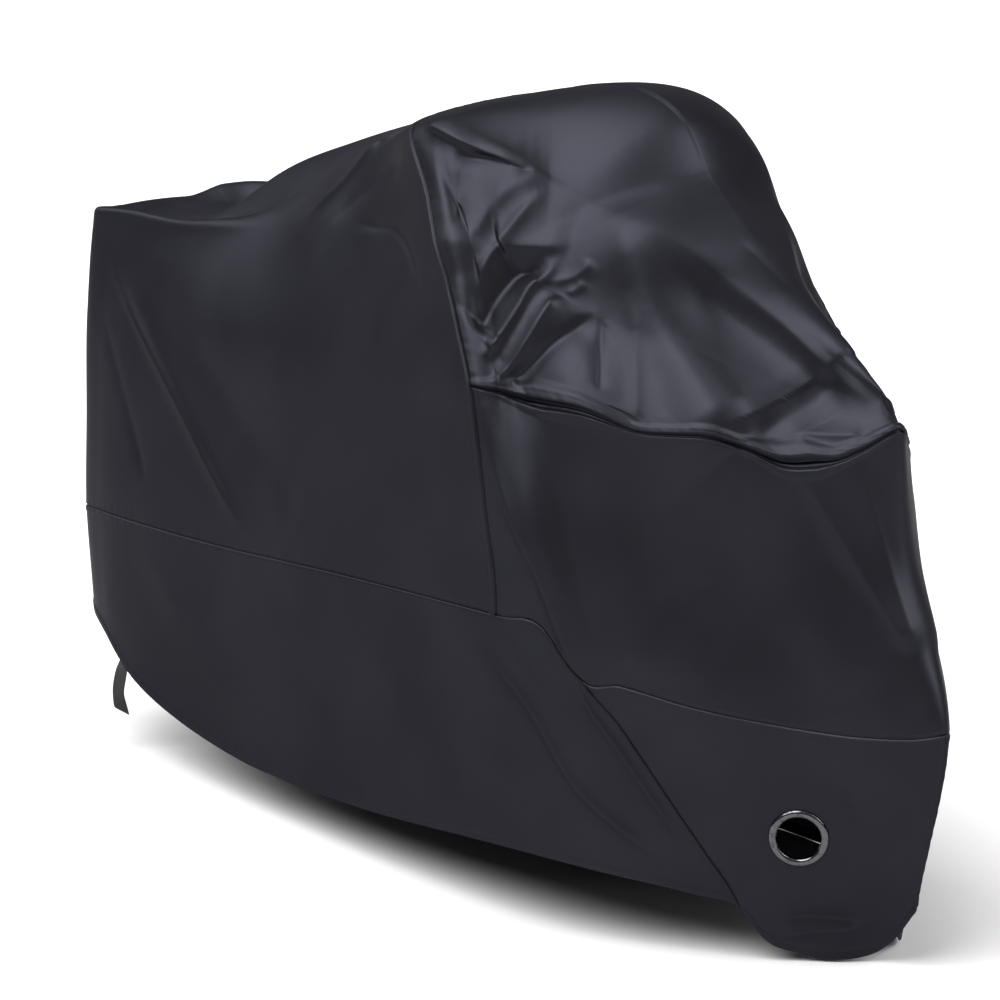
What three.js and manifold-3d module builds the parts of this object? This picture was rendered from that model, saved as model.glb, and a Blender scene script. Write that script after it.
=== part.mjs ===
// A fitted outdoor cover as it stands over a motorcycle, which is not part of the model.
// Millimetres, +X towards the front wheel, +Y to the machine's left, +Z up. The origin is on the
// floor under the middle of the cover. The cover is a hollow shell, open underneath.

import * as THREE from 'three';
import { mergeVertices } from 'three/addons/utils/BufferGeometryUtils.js';
import Module from 'manifold-3d';

const wasm = await Module();
wasm.setup();

// Driving dimensions
const CLOTH = 2; // coated polyester, with the thickness that it drapes at
const SEAM_GAP = 0.6; // left between two panels that are sewn to each other
const EYELET_OUTER = 46; // outer radius of an eyelet's flange
const EYELET_BORE = 34; // radius of the hole through an eyelet
const EYELET_WALL = 1.2; // barrel of an eyelet
const EYELET_FLANGE = 2.6; // thickness of the rolled flange
const FIT = 0.4; // clearance between an eyelet or a strap and the cloth
const EYELET_SIDES = 32; // flats around an eyelet and its hole
const HOLE_DEPTH = 24; // of the round cutter that makes the hole in the cloth
const FLAT_MARGIN = 26; // cloth that an eyelet keeps flat around its flange
const FLAT_FADE = 40; // from there on the cloth takes up its own shape again
const STRAP_WIDTH = 30;
const STRAP_THICKNESS = 1.8;
const STRAP_ROOT = 28; // length sewn behind the hem
const STRAP_SLANT = 5; // how much lower the cut end is on its far edge

const BLACK_CLOTH = { color: 0x26262c, roughness: 0.55, metalness: 0 };
const BLACK_WEBBING = { color: 0x151517, roughness: 0.85, metalness: 0 };
const NICKEL = { color: 0x77777a, roughness: 0.22, metalness: 1 };

const RIGHT = -1;
const LEFT = 1;

// Reads a table whose first line names its columns.
function table(text) {
  const [head, ...lines] = text.trim().split('\n').map((line) => line.trim().split(/\s+/));
  return lines.map((line) => Object.fromEntries(head.map((name, i) => [name, Number(line[i])])));
}

// The cover's lines plan. Each level is one loop around the cover, from the hem up to the middle
// line of its top. A station counts from the middle of the tail (0) past the hood seam (0.5) to the
// middle of the nose (1), and half is the half width there. round is how softly the cloth bends
// over the level behind the hood seam and in front of it, from a crease (0) to a smooth curve (1).
const HEM = {
  round: [1, 1],
  rows: table(`
    station     x  half  height
    0       -1010     0     258
    0.06    -1010   125     252
    0.11     -990   190     228
    0.17     -885   235     195
    0.24     -735   265     134
    0.34     -385   297      83
    0.43       15   325      90
    0.50      350   335     117
    0.60      575   290     114
    0.70      720   205      93
    0.74      770   175      83
    0.78      810   145      30
    0.82      845   105      12
    0.88      885    62       4
    0.92      915    26      14
    0.96      948    11      44
    1         980     0      92`),
};
const LOWER_SEAM = {
  round: [0.8, 0.8],
  rows: table(`
    station     x  half  height
    0       -1018     0     410
    0.06    -1018   130     410
    0.11    -1000   196     415
    0.17     -900   235     425
    0.24     -740   265     435
    0.34     -385   305     455
    0.43       15   345     485
    0.50      435   378     507
    0.54      520   355     500
    0.57      575   330     430
    0.62      640   300     423
    0.70      740   240     400
    0.82      875   130     375
    0.88      940    90     372
    0.94     1000    40     373
    1        1032     0     380`),
};
const KNEE = {
  round: [1, 1],
  rows: table(`
    station     x  half  height
    0       -1018     0     585
    0.06    -1018   130     585
    0.11     -998   193     585
    0.17     -905   225     590
    0.24     -740   250     595
    0.34     -385   295     615
    0.43       15   345     645
    0.50      420   386     675
    0.60      560   325     650
    0.70      665   245     630
    0.88      860   100     615
    1         945     0     615`),
};
const SHOULDER = {
  round: [1, 0.25],
  rows: table(`
    station     x  half  height
    0       -1018     0     775
    0.06    -1018   130     775
    0.11     -997   188     775
    0.17     -905   210     780
    0.24     -745   225     785
    0.34     -385   275     815
    0.43       15   335     845
    0.50      383   384     859
    0.53      420   355     851
    0.56      455   335     842
    0.62      526   296     829
    0.69      609   244     802
    0.74      662   215     802
    0.79      716   183     802
    0.82      757   156     792
    0.86      800   124     775
    0.90      840    96     778
    0.93      868    74     782
    0.96      893    46     798
    1         922     0     826`),
};
const RIM = {
  round: [0.35, 0.9],
  rows: table(`
    station     x  half  height
    0       -1015     0     960
    0.06    -1013   115     958
    0.11     -988   169     963
    0.17     -885   174     971
    0.24     -715   172     970
    0.34     -405   180    1000
    0.40     -205   230    1035
    0.45       -5   275    1045
    0.50      205   320    1115
    0.55      272   303    1078
    0.60      335   270    1030
    0.70      490   208     950
    0.80      617   150     912
    0.85      680   115     885
    0.90      750    78     862
    0.95      822    40     848
    1         898     0     843`),
};
const RIDGE = {
  round: [0.5, 0.8],
  rows: table(`
    station     x  half  height
    0        -975     0     960
    0.06     -962    78     956
    0.11     -915   116     951
    0.17     -825   122     950
    0.24     -670   118     956
    0.34     -385   120    1065
    0.45      -65   210    1175
    0.50       85   260    1222
    0.60      250   247    1225
    0.68      390   205    1165
    0.74      465   158    1110
    0.80      555   110    1045
    0.85      620    68    1003
    0.90      700    32     960
    0.95      790    12     912
    1         880     0     868`),
};
const SPINE = {
  round: [1, 1],
  rows: table(`
    station     x  half  height
    0        -930     0     957
    0.11     -860     0     951
    0.18     -757     0     975
    0.24     -640     0    1050
    0.34     -405     0    1132
    0.45      -85     0    1215
    0.50       75     0    1252
    0.56      215     0    1280
    0.62      330     0    1283
    0.68      430     0    1243
    0.74      500     0    1145
    0.80      570     0    1075
    0.85      635     0    1020
    0.90      712     0     972
    1         885     0     876`),
};
const LEVELS = [HEM, LOWER_SEAM, KNEE, SHOULDER, RIM, RIDGE, SPINE];
const [AT_HEM, AT_LOWER_SEAM, , AT_SHOULDER, , AT_RIDGE, AT_SPINE] = LEVELS.keys();

// Where the panels meet: the hood seam, and the slanting seam of the wheel cover, which runs
// from the lower seam down and forwards to the notch in the hem.
const HOOD_SEAM = 0.5;
const WHEEL_SEAM_TOP = 0.575;
const WHEEL_SEAM_HEM = 0.745;

// On the left the hem comes down to the floor amidships, as on a machine that leans on its side
// stand, and is drawn up a little by the nose. reach is how far from its middle this has faded to
// a third.
const LEFT_HEM = table(`
  station  reach  drop
  0.518     0.13   118
  0.945     0.05   -26`);

// What lies beneath pushes the cloth out in broad places, or lets it sink in. side is -1 on the
// machine's right and 1 on its left, and reach is how far from the middle a place has sunk to a
// third, by station and by level.
const SWELLS = table(`
  side  station  level  reach_s  reach_l  height
  -1      0.640   3.60    0.080     0.90      34
  -1      0.640   5.10    0.080     0.60     -40
  -1      0.830   4.50    0.060     0.50     -12`);

// The main folds. Each runs over the cloth from a station and level, past a middle place, to an
// end place. left and right are how far it reaches on each hand, seen from outside, until it has
// sunk to about a third, and height is above the cloth, or below it where negative.
const FOLDS = table(`
  side  from_s from_l  mid_s mid_l   to_s  to_l  left right height
  -1    0.665  4.93    0.590 4.80   0.518  4.93     8   55     14
  -1    0.665  4.95    0.610 4.48   0.515  3.60    30   50     14
  -1    0.665  4.85    0.615 4.27   0.533  3.58    16   10     10
  -1    0.690  4.50    0.645 4.33   0.590  4.05    14   34     12
  -1    0.660  4.30    0.590 3.80   0.514  3.37    22   20    -18
  -1    0.677  4.45    0.612 3.80   0.510  3.22    10   14     16
  -1    0.665  4.07    0.613 3.62   0.513  3.05    10    9     12
  -1    0.700  4.07    0.633 3.59   0.530  3.12    30   10    -14
  -1    0.747  4.40    0.738 3.88   0.688  3.00    14   30      4
  -1    0.718  5.12    0.775 4.40   0.815  2.95   120   70     34
  -1    0.745  5.05    0.860 5.05   0.990  4.50    60   20     10
  -1    0.772  4.86    0.867 4.58   0.972  4.25    40   60    -12
  -1    0.870  3.37    0.920 3.50   0.967  3.33    16   10      6
  -1    0.149  3.53    0.266 2.61   0.357  1.07     9    9      7
  -1    0.220  3.50    0.332 2.48   0.400  1.45    60   60     -8
  -1    0.373  4.00    0.415 4.60   0.448  5.20    12    9      8
  -1    0.505  2.70    0.529 1.73   0.572  0.98    14   12      9
  -1    0.563  1.02    0.607 0.70   0.691  0.23     9   12      7
  -1    0.487  0.92    0.540 0.54   0.670  0.12    12   12      8
  -1    0.870  2.90    0.921 2.12   0.967  1.47    30    8      8
  -1    0.945  2.95    0.966 2.11   0.974  1.50    10   25      5
  -1    0.646  2.83    0.650 1.88   0.642  1.02    60   60      5
  -1    0.752  2.60    0.801 1.77   0.848  1.09    60   60     -6
  -1    0.234  0.92    0.316 0.42   0.375  0.06    50   60      6
   1    0.725  5.07    0.780 4.40   0.812  3.00    60   30      8
   1    0.745  5.05    0.860 5.05   0.990  4.50    20   60      8
   1    0.772  4.86    0.867 4.58   0.972  4.25    45   30     -8
   1    0.655  4.90    0.590 4.40   0.520  3.70    45   14      8
   1    0.670  4.40    0.600 3.75   0.512  3.20    14    9      9
   1    0.690  4.10    0.620 3.60   0.530  3.10     9   30     -8
   1    0.140  3.50    0.250 2.60   0.340  1.20    10   10      7
   1    0.230  3.50    0.330 2.40   0.420  1.50    60   60     -8
   1    0.505  2.60    0.545 1.60   0.600  0.40    12   14      9
   1    0.880  2.80    0.925 2.10   0.960  1.40     8   30      6
   1    0.375  4.00    0.415 4.60   0.448  5.20     9   12      7
   1    0.640  2.80    0.650 1.90   0.640  1.00    60   60     -5
   1    0.020  4.06    0.100 4.12   0.200  4.04    25   30     20`);

// The eyelets for a lock, one on each side of the wheel cover, by station and level.
const EYELET_STATION = 0.809;
const EYELET_LEVEL = 0.48;
const STRAP_STATION = 0.212;

const lerp = THREE.MathUtils.lerp;
const clamp = THREE.MathUtils.clamp;
const smooth = (t) => THREE.MathUtils.smoothstep(t, 0, 1);

// A cubic from a to b, with the slopes da and db over the whole step.
function cubic(t, a, b, da, db) {
  const t2 = t * t;
  const t3 = t2 * t;
  return (2 * t3 - 3 * t2 + 1) * a + (t3 - 2 * t2 + t) * da + (3 * t2 - 2 * t3) * b + (t3 - t2) * db;
}

// The smooth loop through one level's rows, mirrored past the middle of the tail and of the nose.
function loopThrough(rows) {
  const row = ({ station, x, half, height }) => ({ station, p: [x, half, height] });
  const mirrored = ({ station, p }, about) => ({ station: 2 * about - station, p: [p[0], -p[1], p[2]] });
  const own = rows.map(row);
  const all = [mirrored(own[1], 0), ...own, mirrored(own.at(-2), 1)];
  const slope = (i, k) => (all[i + 1].p[k] - all[i].p[k]) / (all[i + 1].station - all[i].station);
  const tangent = (i, k) => {
    const before = all[i].station - all[i - 1].station;
    const after = all[i + 1].station - all[i].station;
    return (slope(i - 1, k) * after + slope(i, k) * before) / (before + after);
  };
  return (station) => {
    let i = 1;
    while (i < own.length - 1 && station > all[i + 1].station) i += 1;
    const [from, to] = [all[i], all[i + 1]];
    const step = to.station - from.station;
    const t = (station - from.station) / step;
    return from.p.map((a, k) => cubic(t, a, to.p[k], step * tangent(i, k), step * tangent(i + 1, k)));
  };
}

const loops = LEVELS.map((level) => loopThrough(level.rows));

// The bend over a level changes around the hood seam.
const CHANGE = 0.08;

function roundness(level, station) {
  const [behind, ahead] = LEVELS[level].round;
  return lerp(behind, ahead, smooth((station - HOOD_SEAM) / CHANGE + 0.5));
}

function bell(away) {
  return Math.exp(-away * away);
}

// The cloth without its folds, at a station and a level, which may lie between two loops.
function drape(side, station, level) {
  const points = loops.map((loop) => loop(station));
  const below = points[AT_HEM].map((c, k) => 2 * c - points[AT_LOWER_SEAM][k]);
  const [ridgeX, ridgeHalf, ridgeHeight] = points[AT_RIDGE];
  const beyond = [ridgeX, -ridgeHalf, ridgeHeight];
  const at = (i) => (i < 0 ? below : i > AT_SPINE ? beyond : points[i]);
  const i = clamp(Math.floor(level), 0, AT_SPINE - 1);
  const bend = (j, k) => ((at(j + 1)[k] - at(j - 1)[k]) / 2) * roundness(j, station);
  const [x, y, z] = [0, 1, 2].map((k) =>
    cubic(level - i, at(i)[k], at(i + 1)[k], bend(i, k), bend(i + 1, k)));
  const belowSeam = side === LEFT ? Math.max(AT_LOWER_SEAM - level, 0) : 0;
  const drop = LEFT_HEM.reduce((sum, row) => sum + row.drop * bell((station - row.station) / row.reach), 0);
  return new THREE.Vector3(x, side * y, z - belowSeam * drop);
}

const STEP = 1e-3; // of a station or a level, between places whose difference gives a slope
const WELD = 1e-4; // corners nearer than this are one

function outward(side, station, level) {
  const along = drape(side, station + STEP, level).sub(drape(side, station - STEP, level));
  const up = drape(side, station, level + STEP).sub(drape(side, station, level - STEP));
  return along.cross(up).multiplyScalar(-side).normalize();
}

// A fold's line over the cloth in short straight steps, and which way is out along it.
const FOLD_STEPS = 12;
const FOLD_REACH = 4; // half widths, beyond which a fold has no effect
const FADE_IN = 0.35; // of a fold's length
const FADE_OUT = 0.14;
const CREST = 0.3; // how rounded a fold's crest is, in half widths
const foldLines = FOLDS.map((fold) => {
  const through = (t, a, b, c) => a * (1 - t) * (1 - 2 * t) + 4 * b * t * (1 - t) + c * t * (2 * t - 1);
  const places = Array.from({ length: FOLD_STEPS + 1 }, (_, i) => {
    const t = i / FOLD_STEPS;
    return [
      through(t, fold.from_s, fold.mid_s, fold.to_s),
      through(t, fold.from_l, fold.mid_l, fold.to_l),
    ];
  });
  const points = places.map(([station, level]) => drape(fold.side, station, level));
  const reach = FOLD_REACH * Math.max(fold.left, fold.right);
  return {
    ...fold,
    points,
    outwards: places.map(([station, level]) => outward(fold.side, station, level)),
    box: new THREE.Box3().setFromPoints(points).expandByScalar(reach),
  };
});

// How far the folds lift the cloth at a point of the drape. A fold fades out towards both ends.
function foldHeight(point) {
  let height = 0;
  for (const fold of foldLines) {
    if (!fold.box.containsPoint(point)) continue;
    let away = Infinity;
    let along = 0;
    let share = 0;
    for (let i = 0; i < FOLD_STEPS; i += 1) {
      const piece = new THREE.Line3(fold.points[i], fold.points[i + 1]);
      const t = piece.closestPointToPointParameter(point, true);
      const offset = point.clone().sub(piece.at(t, new THREE.Vector3()));
      const distance = offset.length();
      if (distance >= away) continue;
      const leftwards = fold.outwards[i].clone().cross(piece.delta(new THREE.Vector3()));
      away = distance;
      along = (i + t) / FOLD_STEPS;
      share = distance / (offset.dot(leftwards) > 0 ? fold.left : fold.right);
    }
    const fade = smooth(along / FADE_IN) * smooth((1 - along) / FADE_OUT) * smooth((FOLD_REACH - share) / 2);
    height += fold.height * fade * Math.exp(CREST - Math.hypot(share, CREST));
  }
  return height;
}

function swell(side, station, level) {
  const own = SWELLS.filter((place) => place.side === side);
  return own.reduce((sum, { station: s, level: l, reach_s, reach_l, height }) =>
    sum + height * bell(Math.hypot((station - s) / reach_s, (level - l) / reach_l)), 0);
}

// Each eyelet clamps the cloth flat around itself.
const eyelets = [RIGHT, LEFT].map((side) => ({
  side,
  centre: drape(side, EYELET_STATION, EYELET_LEVEL),
  axis: outward(side, EYELET_STATION, EYELET_LEVEL),
}));

function flattened(point) {
  for (const { centre, axis } of eyelets) {
    const offset = point.clone().sub(centre);
    const share = 1 - smooth((offset.length() - EYELET_OUTER - FLAT_MARGIN) / FLAT_FADE);
    point.addScaledVector(axis, -share * offset.dot(axis));
  }
  return point;
}

// The cloth's outer face with its folds.
function surface(side, station, level) {
  const point = drape(side, station, level);
  const height = foldHeight(point) + swell(side, station, level);
  return flattened(point.addScaledVector(outward(side, station, level), height));
}

function surfaceNormal(side, station, level) {
  const s = clamp(station, 2 * STEP, 1 - 2 * STEP);
  const l = clamp(level, 2 * STEP, AT_SPINE - 2 * STEP);
  const along = surface(side, s + 2 * STEP, l).sub(surface(side, s - 2 * STEP, l));
  const up = surface(side, s, l + 2 * STEP).sub(surface(side, s, l - 2 * STEP));
  return along.cross(up).multiplyScalar(-side).normalize();
}

// A panel is a grid over one or both sides, from place(i, j) to a station and level. Places that
// both sides share, at the tail, the nose or the top, are one point, so the panel wraps around. A
// panel of one side stays on it.
// seams names the edges of the grid that meet another panel: first, last, bottom and top.
function panel({ sides, columns, rows, place, seams }) {
  const outer = [];
  const inner = [];
  const known = new Map();

  function vertex(side, i, j) {
    const [station, level] = place(i, j);
    const shared = sides.length > 1 && (level === AT_SPINE || station === 0 || station === 1);
    const key = `${shared ? 'both' : side} ${i} ${j}`;
    if (known.has(key)) return known.get(key);
    const point = surface(side, station, level);
    const normal = surfaceNormal(side, station, level);
    if (shared) {
      point.y = 0;
      normal.y = 0;
      normal.normalize();
    }
    const start = point.clone();
    const towards = (a, b) => surface(side, ...place(a, b)).sub(start);
    const inset = (along, inwards) => {
      const across = along.cross(normal).setLength(SEAM_GAP / 2);
      if (shared) across.y = 0;
      point.addScaledVector(across, Math.sign(across.dot(inwards)));
    };
    const alongColumn = () => towards(i, Math.min(j + 1, rows)).sub(towards(i, Math.max(j - 1, 0)));
    const alongRow = () => towards(Math.min(i + 1, columns), j).sub(towards(Math.max(i - 1, 0), j));
    if (seams.first && i === 0) inset(alongColumn(), towards(0.5, j));
    if (seams.last && i === columns) inset(alongColumn(), towards(columns - 0.5, j));
    if (seams.bottom && j === 0) inset(alongRow(), towards(i, 0.5));
    if (seams.top && j === rows) inset(alongRow(), towards(i, rows - 0.5));
    known.set(key, outer.length);
    outer.push(point);
    inner.push(point.clone().addScaledVector(normal, -CLOTH));
    if (sides.length === 1) {
      for (const own of [point, inner.at(-1)]) own.y = side * Math.max(side * own.y, SEAM_GAP / 2);
    }
    return outer.length - 1;
  }

  const faces = [];
  for (const side of sides) {
    for (let i = 0; i < columns; i += 1) {
      for (let j = 0; j < rows; j += 1) {
        const [a, b, c, d] = [
          vertex(side, i, j),
          vertex(side, i + 1, j),
          vertex(side, i + 1, j + 1),
          vertex(side, i, j + 1),
        ];
        const halves = outer[a].distanceTo(outer[c]) <= outer[b].distanceTo(outer[d])
          ? [[a, b, c], [a, c, d]]
          : [[a, b, d], [b, c, d]];
        for (const half of halves) {
          if (new Set(half).size < 3) continue;
          faces.push(side === RIGHT ? half : half.toReversed());
        }
      }
    }
  }
  return shell(faces, outer, inner);
}

// Closes an outer and an inner face with a wall along every free edge.
function shell(faces, outer, inner) {
  const count = outer.length;
  const edges = new Set(faces.flatMap(([a, b, c]) => [`${a} ${b}`, `${b} ${c}`, `${c} ${a}`]));
  const index = faces.flatMap(([a, b, c]) => [a, b, c, a + count, c + count, b + count]);
  for (const edge of edges) {
    const [a, b] = edge.split(' ').map(Number);
    if (!edges.has(`${b} ${a}`)) index.push(b, a, a + count, b, a + count, b + count);
  }
  const geometry = new THREE.BufferGeometry().setFromPoints([...outer, ...inner]);
  geometry.setIndex(index);
  return geometry;
}

function mesh(name, geometry, look) {
  geometry.computeVertexNormals();
  const made = new THREE.Mesh(geometry, new THREE.MeshStandardMaterial(look));
  made.name = name;
  return made;
}

function solidOf(geometry) {
  const bare = geometry.clone();
  bare.deleteAttribute('normal');
  bare.deleteAttribute('uv');
  const merged = mergeVertices(bare, WELD);
  return new wasm.Manifold(new wasm.Mesh({
    numProp: 3,
    vertProperties: new Float32Array(merged.getAttribute('position').array),
    triVerts: new Uint32Array(merged.getIndex().array),
  }));
}

function geometryOf(solid) {
  const { vertProperties, triVerts } = solid.getMesh();
  const geometry = new THREE.BufferGeometry();
  geometry.setAttribute('position', new THREE.BufferAttribute(vertProperties, 3));
  geometry.setIndex(new THREE.BufferAttribute(triVerts, 1));
  return geometry;
}

// Grid lines of the panels. Two panels share the lines of the seam between them.
function divided(from, to, steps) {
  return Array.from({ length: steps }, (_, i) => lerp(from, to, i / steps));
}
const REAR_STATIONS = [
  ...divided(0, 0.11, 4), ...divided(0.11, 0.24, 6), ...divided(0.24, 0.34, 6),
  ...divided(0.34, 0.43, 6), ...divided(0.43, HOOD_SEAM, 6), HOOD_SEAM,
];
const STEP_STATIONS = [...divided(HOOD_SEAM, WHEEL_SEAM_TOP, 5), WHEEL_SEAM_TOP];
const WHEEL_STATIONS = [...divided(WHEEL_SEAM_TOP, 1, 23), 1];
const FRONT_STATIONS = [...STEP_STATIONS, ...WHEEL_STATIONS.slice(1)];
const SKIRT_STATIONS = [...REAR_STATIONS, ...STEP_STATIONS.slice(1)];
const SKIRT_LEVELS = [...divided(AT_HEM, AT_LOWER_SEAM, 7), AT_LOWER_SEAM];
const WALL_LEVELS = [...divided(AT_LOWER_SEAM, AT_SHOULDER, 8), AT_SHOULDER];
const TOP_LEVELS = [...divided(AT_SHOULDER, AT_SPINE, 15), AT_SPINE];

// A panel over whole stations and levels of the plan.
function panelOver(stations, levels, sides, seams) {
  return panel({
    sides,
    seams,
    columns: stations.length - 1,
    rows: levels.length - 1,
    place: (i, j) => [between(stations, i), between(levels, j)],
  });
}

function between(list, i) {
  const low = Math.floor(i);
  return low === i ? list[i] : lerp(list[low], list[low + 1], i - low);
}

// The skirt's stations lean forwards from the lower seam down to the hem, up to the wheel seam.
function wheelSeam(level) {
  return lerp(WHEEL_SEAM_HEM, WHEEL_SEAM_TOP, level);
}

function hoodPanel() {
  return panelOver(FRONT_STATIONS, TOP_LEVELS, [RIGHT, LEFT], { first: true, bottom: true });
}

function frontPanel() {
  return panelOver(FRONT_STATIONS, WALL_LEVELS, [RIGHT, LEFT], { first: true, bottom: true, top: true });
}

function rearPanel() {
  const levels = [...WALL_LEVELS, ...TOP_LEVELS.slice(1)];
  return panelOver(REAR_STATIONS, levels, [RIGHT, LEFT], { last: true, bottom: true });
}

function rearSkirt() {
  return panel({
    sides: [RIGHT, LEFT],
    seams: { last: true, top: true },
    columns: SKIRT_STATIONS.length - 1,
    rows: SKIRT_LEVELS.length - 1,
    place: (i, j) => {
      const level = between(SKIRT_LEVELS, j);
      return [(between(SKIRT_STATIONS, i) / WHEEL_SEAM_TOP) * wheelSeam(level), level];
    },
  });
}

// One side of the wheel cover, with the hole for its eyelet.
function wheelCover(side) {
  const cloth = panel({
    sides: [side],
    seams: { first: true, last: true, top: true },
    columns: WHEEL_STATIONS.length - 1,
    rows: SKIRT_LEVELS.length - 1,
    place: (i, j) => {
      const level = between(SKIRT_LEVELS, j);
      const share = (between(WHEEL_STATIONS, i) - WHEEL_SEAM_TOP) / (1 - WHEEL_SEAM_TOP);
      return [lerp(wheelSeam(level), 1, share), level];
    },
  });
  const { centre, axis } = eyelets.find((eyelet) => eyelet.side === side);
  const hole = new THREE.CylinderGeometry(
    EYELET_BORE + EYELET_WALL + FIT, EYELET_BORE + EYELET_WALL + FIT, HOLE_DEPTH, EYELET_SIDES);
  hole.applyQuaternion(new THREE.Quaternion().setFromUnitVectors(new THREE.Vector3(0, 1, 0), axis));
  hole.translate(...centre.toArray());
  return geometryOf(solidOf(cloth).subtract(solidOf(hole)));
}

// A rolled metal eyelet, turned about its bore, that grips the cloth between two flanges.
function eyeletRing({ side, centre, axis }) {
  const slot = CLOTH / 2 + FIT; // half the width of the slot that the cloth lies in
  const face = slot + EYELET_FLANGE;
  const barrel = EYELET_BORE + EYELET_WALL;
  const roll = EYELET_FLANGE / 2;
  const profile = [
    [EYELET_BORE, roll - face], [barrel, -face], [EYELET_OUTER - roll, -face],
    [EYELET_OUTER, roll - face], [EYELET_OUTER - roll, -slot], [barrel, -slot],
    [barrel, slot], [EYELET_OUTER - roll, slot], [EYELET_OUTER, face - roll],
    [EYELET_OUTER - roll, face], [barrel, face], [EYELET_BORE, face - roll],
    [EYELET_BORE, roll - face],
  ].map(([radius, height]) => new THREE.Vector2(radius, height));
  const turned = new THREE.LatheGeometry(profile, EYELET_SIDES);
  const ring = mesh(side === RIGHT ? 'eyelet_right' : 'eyelet_left', turned, NICKEL);
  ring.quaternion.setFromUnitVectors(new THREE.Vector3(0, 1, 0), axis);
  ring.position.copy(centre).addScaledVector(axis, -CLOTH / 2);
  return ring;
}

// A webbing strap on the machine's right. Its root is sewn behind the rear hem and follows the
// cloth, and its free end hangs. ahead and aside move it off the plumb line, and turn, in degrees,
// twists it to face forwards.
const STRAP_HANG = table(`
  down  ahead  aside  turn
    12     -3     -2    16
    34     -8     -4    20
    55    -11     -5    18
    77     -9     -3    28
    90     -7     -1    36`);

function tailStrap() {
  const reach = 0.01;
  const hem = surface(RIGHT, STRAP_STATION, AT_HEM);
  const ahead = surface(RIGHT, STRAP_STATION + reach, AT_HEM).sub(hem);
  const halfStation = (reach * STRAP_WIDTH) / 2 / ahead.length();
  const height = surface(RIGHT, STRAP_STATION, AT_LOWER_SEAM).sub(hem).length();
  const behind = (station, level, depth) =>
    surface(RIGHT, station, level).addScaledVector(surfaceNormal(RIGHT, station, level), -depth);
  const near = CLOTH + FIT;
  const far = near + STRAP_THICKNESS;
  const outer = [];
  const inner = [];
  for (const share of [1, 0.67, 0.33, 0]) {
    const level = (share * STRAP_ROOT) / height;
    for (const station of [STRAP_STATION - halfStation, STRAP_STATION + halfStation]) {
      outer.push(behind(station, level, near));
      inner.push(behind(station, level, far));
    }
  }
  const root = [outer.at(-2), outer.at(-1)];
  const middle = root[0].clone().add(root[1]).multiplyScalar(0.5);
  const upright = new THREE.Vector3(0, 0, 1);
  const rootWidth = root[1].clone().sub(root[0]).setZ(0).setLength(STRAP_WIDTH / 2);
  for (const [i, hang] of STRAP_HANG.entries()) {
    const centre = middle.clone().add(new THREE.Vector3(hang.ahead, hang.aside, -hang.down));
    const across = rootWidth.clone().applyAxisAngle(upright, THREE.MathUtils.degToRad(hang.turn));
    const face = across.clone().cross(upright).setLength(STRAP_THICKNESS);
    for (const edge of [-1, 1]) {
      const point = centre.clone().addScaledVector(across, edge);
      if (i === STRAP_HANG.length - 1) point.z -= edge * STRAP_SLANT;
      outer.push(point);
      inner.push(point.clone().sub(face));
    }
  }
  const faces = [];
  for (let a = 0; a < outer.length - 2; a += 2) faces.push([a, a + 2, a + 3], [a, a + 3, a + 1]);
  return shell(faces, outer, inner);
}

const cover = new THREE.Group();
cover.add(
  mesh('hood_panel', hoodPanel(), BLACK_CLOTH),
  mesh('front_panel', frontPanel(), BLACK_CLOTH),
  mesh('rear_panel', rearPanel(), BLACK_CLOTH),
  mesh('rear_skirt', rearSkirt(), BLACK_CLOTH),
  mesh('wheel_cover_right', wheelCover(RIGHT), BLACK_CLOTH),
  mesh('wheel_cover_left', wheelCover(LEFT), BLACK_CLOTH),
  ...eyelets.map(eyeletRing),
  mesh('tail_strap', tailStrap(), BLACK_WEBBING),
);

export default cover;
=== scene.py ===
import math

import bpy
import numpy as np
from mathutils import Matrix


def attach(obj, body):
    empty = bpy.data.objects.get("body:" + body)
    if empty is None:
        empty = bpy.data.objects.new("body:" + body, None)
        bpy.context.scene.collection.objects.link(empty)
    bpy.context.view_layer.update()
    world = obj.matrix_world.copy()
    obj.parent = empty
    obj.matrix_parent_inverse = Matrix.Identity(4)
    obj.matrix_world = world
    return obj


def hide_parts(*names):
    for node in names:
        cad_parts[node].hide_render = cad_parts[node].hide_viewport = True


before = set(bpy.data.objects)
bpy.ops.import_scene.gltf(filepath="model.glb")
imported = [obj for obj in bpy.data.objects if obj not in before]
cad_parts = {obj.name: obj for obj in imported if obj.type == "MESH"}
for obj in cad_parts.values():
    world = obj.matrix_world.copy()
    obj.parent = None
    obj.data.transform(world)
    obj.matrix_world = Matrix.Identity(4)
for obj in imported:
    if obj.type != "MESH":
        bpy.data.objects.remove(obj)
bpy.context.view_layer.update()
scene = bpy.context.scene

# The studio: a seamless pale sweep, a big soft box high on the cover's right, another beyond its
# front, a weaker one behind its tail, one overhead, and a dim even sky. The camera stands level
# with the seat and looks at the front right of the cover.
FLOOR_SPAN = 60.0
FLOOR_WHITE = 0.5
SKY = ((0.0, 0.15), (0.45, 0.19), (0.64, 0.4), (1.0, 0.7))
LAMPS = (
    # name, direction that it shines from, breadth in degrees, strength
    ("right_side", (0.0, -0.60, 0.80), 46, 4.3),
    ("far_front", (0.62, 0.50, 0.60), 44, 3.6),
    ("tail_end", (-0.80, -0.24, 0.56), 40, 2.4),
    ("overhead", (-0.20, -0.14, 0.97), 38, 1.9),
)
VIEW_TURN, VIEW_RISE, VIEW_REACH = math.radians(51.2), math.radians(12.2), 6.0
LENS_MM, SENSOR_MM = 139, 36
VIEW_TARGET = np.array((0.356, -0.305, 0.665))


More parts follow.
